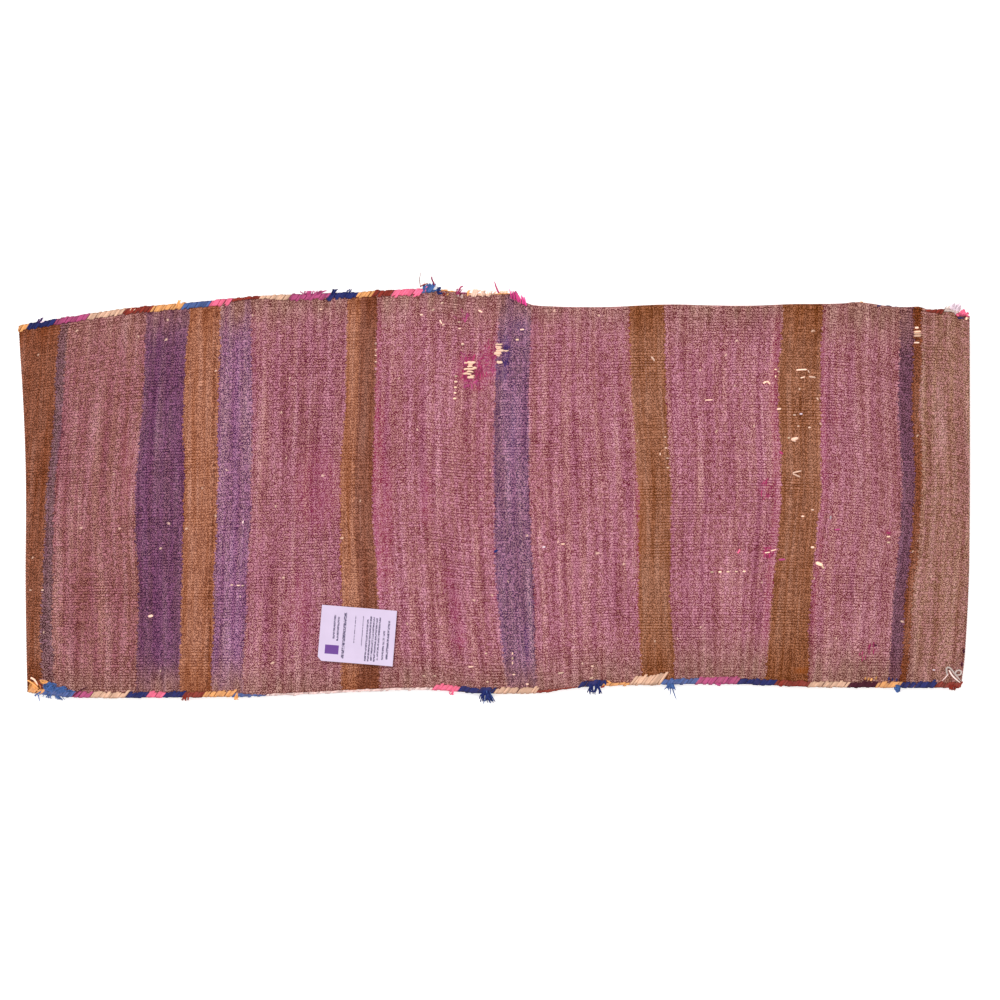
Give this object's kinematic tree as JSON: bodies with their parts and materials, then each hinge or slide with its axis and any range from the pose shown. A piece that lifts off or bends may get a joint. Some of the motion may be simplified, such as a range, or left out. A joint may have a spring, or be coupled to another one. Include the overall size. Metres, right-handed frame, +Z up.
{
  "type": "kilim saddle bag",
  "caption": "Long flat saddle bag of striped wool kilim, folded over at both ends into pockets, its long edges overcast with runs of coloured yarn.",
  "frame": {"origin": "middle of the footprint, on the surface that the bag lies on", "axes": "+X along the bag's length, +Y across it, +Z up out of the striped back, which is its upper side as it lies"},
  "size_m": [1.113, 0.481, 0.0179],
  "materials": {
    "striped_kilim": "weft-faced plain weave in worn wool",
    "yarn_gold": "overcast two-ply wool yarn",
    "yarn_navy": "overcast two-ply wool yarn",
    "yarn_magenta": "overcast two-ply wool yarn",
    "yarn_cream": "overcast two-ply wool yarn",
    "yarn_rust": "overcast two-ply wool yarn",
    "yarn_blue": "overcast two-ply wool yarn",
    "yarn_pink": "overcast two-ply wool yarn",
    "yarn_rose": "overcast two-ply wool yarn",
    "yarn_maroon": "overcast two-ply wool yarn",
    "yarn_white": "overcast two-ply wool yarn",
    "label_card": "smooth matt card"
  },
  "bodies": {
    "root": {"woven_strip": "striped_kilim", "top_binding_01_gold": "yarn_gold", "top_binding_02_navy": "yarn_navy", "top_binding_03_magenta": "yarn_magenta", "top_binding_04_cream": "yarn_cream", "top_binding_05_rust": "yarn_rust", "top_binding_06_gold": "yarn_gold", "top_binding_07_blue": "yarn_blue", "top_binding_08_pink": "yarn_pink", "top_binding_09_rust": "yarn_rust", "top_binding_10_cream": "yarn_cream", "top_binding_11_magenta": "yarn_magenta", "top_binding_12_navy": "yarn_navy", "top_binding_13_gold": "yarn_gold", "top_binding_14_rust": "yarn_rust", "top_binding_15_pink": "yarn_pink", "top_binding_16_blue": "yarn_blue", "top_binding_17_gold": "yarn_gold", "top_binding_18_magenta": "yarn_magenta", "top_binding_19_cream": "yarn_cream", "top_binding_20_gold": "yarn_gold", "top_binding_21_magenta": "yarn_magenta", "top_binding_22_navy": "yarn_navy", "top_binding_23_rust": "yarn_rust", "top_binding_24_cream": "yarn_cream", "top_binding_25_blue": "yarn_blue", "top_binding_26_magenta": "yarn_magenta", "top_binding_27_gold": "yarn_gold", "top_binding_28_rust": "yarn_rust", "top_binding_29_white": "yarn_white", "top_binding_30_pink": "yarn_pink", "bottom_binding_01_gold": "yarn_gold", "bottom_binding_02_blue": "yarn_blue", "bottom_binding_03_magenta": "yarn_magenta", "bottom_binding_04_cream": "yarn_cream", "bottom_binding_05_navy": "yarn_navy", "bottom_binding_06_pink": "yarn_pink", "bottom_binding_07_navy": "yarn_navy", "bottom_binding_08_rust": "yarn_rust", "bottom_binding_09_gold": "yarn_gold", "bottom_binding_10_blue": "yarn_blue", "bottom_binding_11_rose": "yarn_rose", "bottom_binding_12_pink": "yarn_pink", "bottom_binding_13_navy": "yarn_navy", "bottom_binding_14_cream": "yarn_cream", "bottom_binding_15_rust": "yarn_rust", "bottom_binding_16_navy": "yarn_navy", "bottom_binding_17_gold": "yarn_gold", "bottom_binding_18_cream": "yarn_cream", "bottom_binding_19_blue": "yarn_blue", "bottom_binding_20_magenta": "yarn_magenta", "bottom_binding_21_navy": "yarn_navy", "bottom_binding_22_rust": "yarn_rust", "bottom_binding_23_cream": "yarn_cream", "bottom_binding_24_maroon": "yarn_maroon", "bottom_binding_25_gold": "yarn_gold", "bottom_binding_26_navy": "yarn_navy", "bottom_binding_27_rust": "yarn_rust", "label_card": "label_card"}
  },
  "joints": []
}
